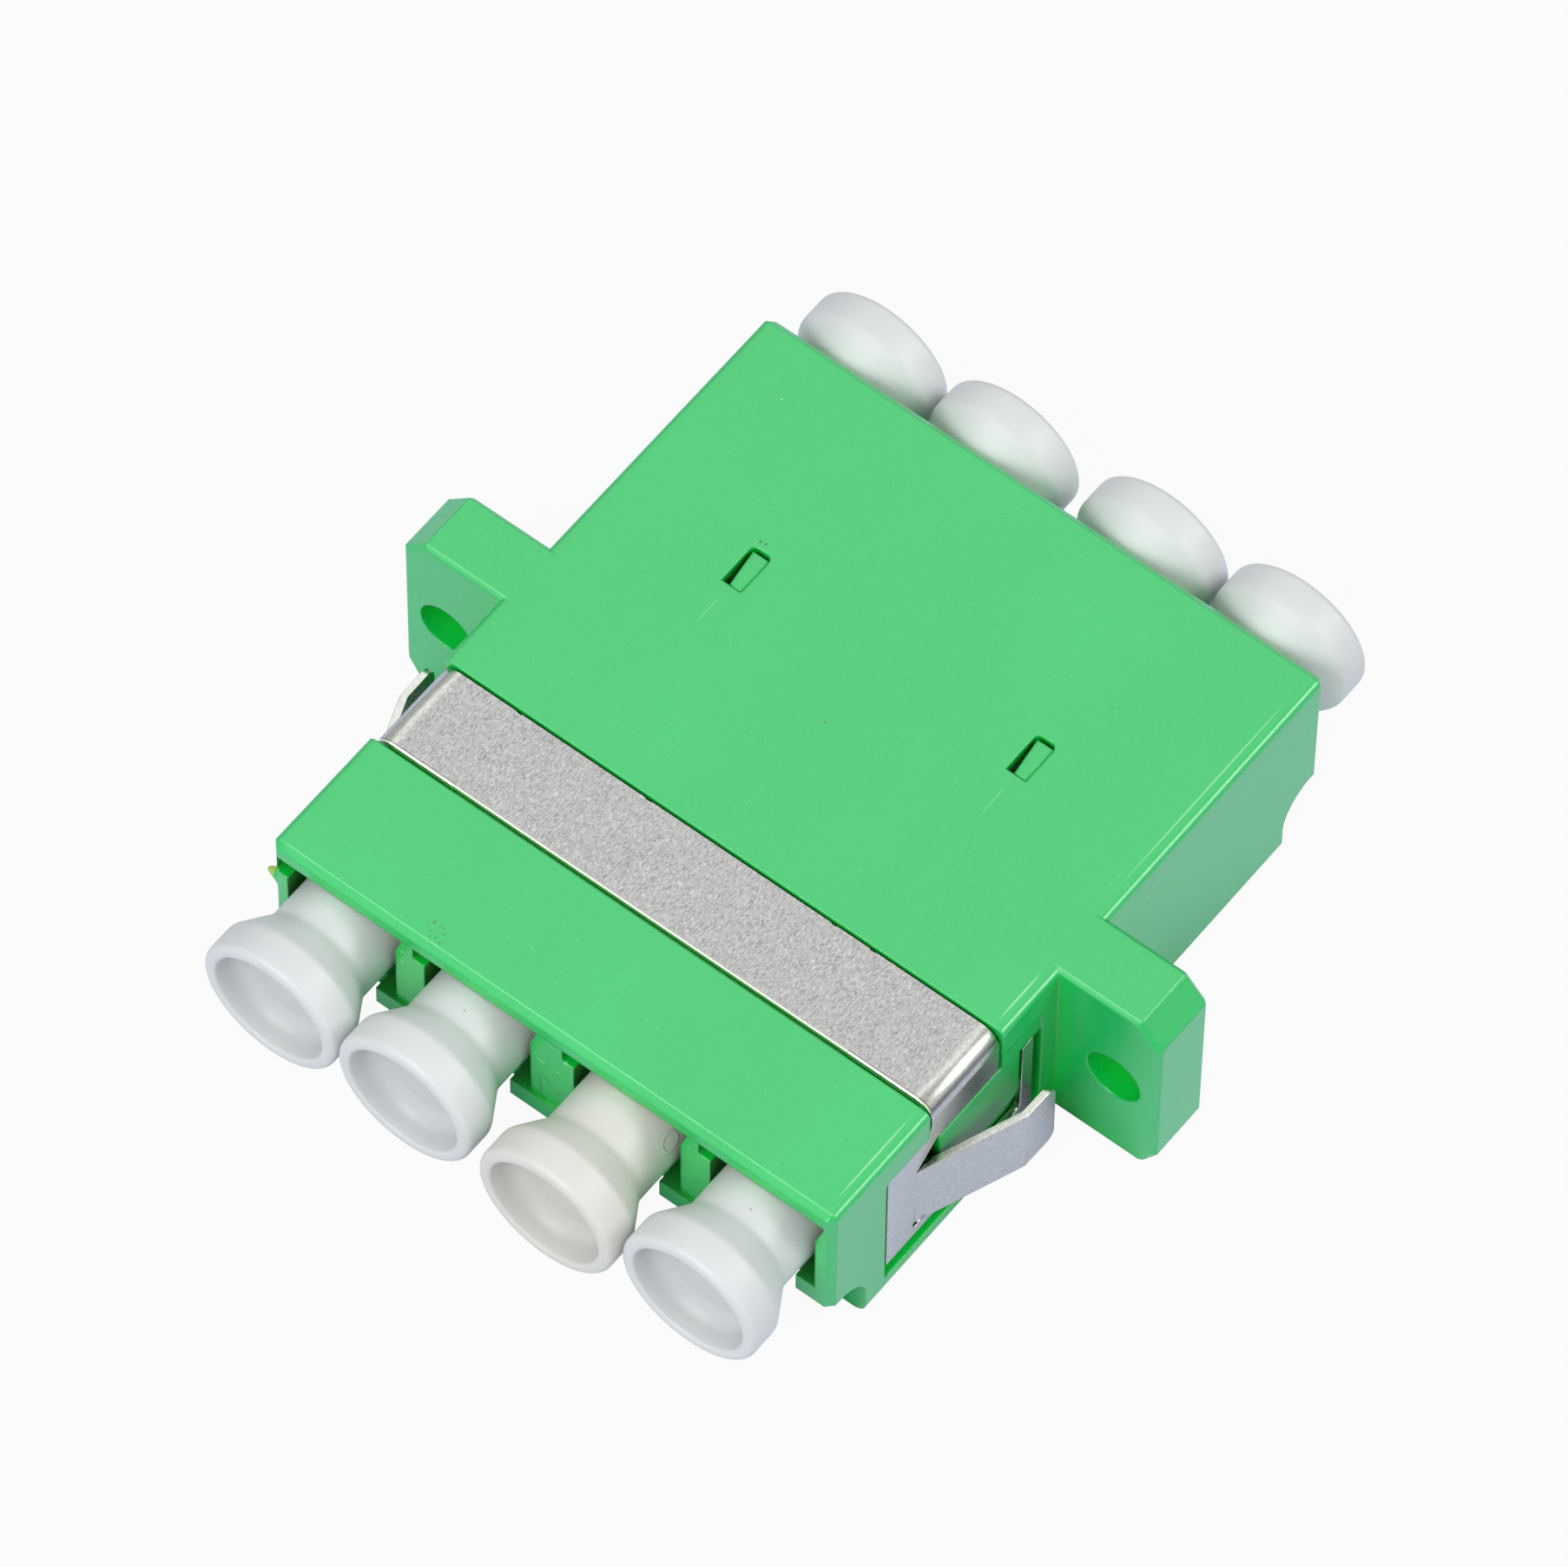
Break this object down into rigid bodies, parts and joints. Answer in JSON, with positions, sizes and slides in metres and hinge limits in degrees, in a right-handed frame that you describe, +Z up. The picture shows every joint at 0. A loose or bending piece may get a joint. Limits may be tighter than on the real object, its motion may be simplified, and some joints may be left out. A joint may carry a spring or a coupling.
{
  "type": "fibre optic panel adapter",
  "caption": "Flanged green panel adapter that joins small-form fibre plugs through ceramic sleeves, with a folded spring clip and dust caps in its ports.",
  "frame": {"origin": "middle of the flat underside, half way along the body and half way across it", "axes": "+X across the four ports towards the right ear, +Y from the clip end to the far end, +Z up from the latch side to the flat top"},
  "size_m": [0.035, 0.037, 0.0094],
  "materials": {
    "green_plastic": "satin moulded",
    "spring_steel": "rolled strip",
    "white_ceramic": "polished",
    "cap_plastic": "translucent"
  },
  "bodies": {
    "adapter": {"housing": "green_plastic", "front_holder_left": "green_plastic", "front_holder_right": "green_plastic", "rear_insert_left": "green_plastic", "rear_insert_right": "green_plastic", "spring_clip": "spring_steel", "split_sleeve_1": "white_ceramic", "split_sleeve_2": "white_ceramic", "split_sleeve_3": "white_ceramic", "split_sleeve_4": "white_ceramic"},
    "front_cap_1_body": {"front_cap_1": "cap_plastic"},
    "front_cap_2_body": {"front_cap_2": "cap_plastic"},
    "front_cap_3_body": {"front_cap_3": "cap_plastic"},
    "front_cap_4_body": {"front_cap_4": "cap_plastic"},
    "rear_cap_1_body": {"rear_cap_1": "cap_plastic"},
    "rear_cap_2_body": {"rear_cap_2": "cap_plastic"},
    "rear_cap_3_body": {"rear_cap_3": "cap_plastic"},
    "rear_cap_4_body": {"rear_cap_4": "cap_plastic"}
  },
  "joints": [
    {"name": "front_cap_1_pull", "type": "slide", "parent": "adapter", "child": "front_cap_1_body", "axis": [0, -1, 0], "range_m": [0, 0.01]},
    {"name": "front_cap_2_pull", "type": "slide", "parent": "adapter", "child": "front_cap_2_body", "axis": [0, -1, 0], "range_m": [0, 0.01]},
    {"name": "front_cap_3_pull", "type": "slide", "parent": "adapter", "child": "front_cap_3_body", "axis": [0, -1, 0], "range_m": [0, 0.01]},
    {"name": "front_cap_4_pull", "type": "slide", "parent": "adapter", "child": "front_cap_4_body", "axis": [0, -1, 0], "range_m": [0, 0.01]},
    {"name": "rear_cap_1_pull", "type": "slide", "parent": "adapter", "child": "rear_cap_1_body", "axis": [0, 1, 0], "range_m": [0, 0.01]},
    {"name": "rear_cap_2_pull", "type": "slide", "parent": "adapter", "child": "rear_cap_2_body", "axis": [0, 1, 0], "range_m": [0, 0.01]},
    {"name": "rear_cap_3_pull", "type": "slide", "parent": "adapter", "child": "rear_cap_3_body", "axis": [0, 1, 0], "range_m": [0, 0.01]},
    {"name": "rear_cap_4_pull", "type": "slide", "parent": "adapter", "child": "rear_cap_4_body", "axis": [0, 1, 0], "range_m": [0, 0.01]}
  ]
}
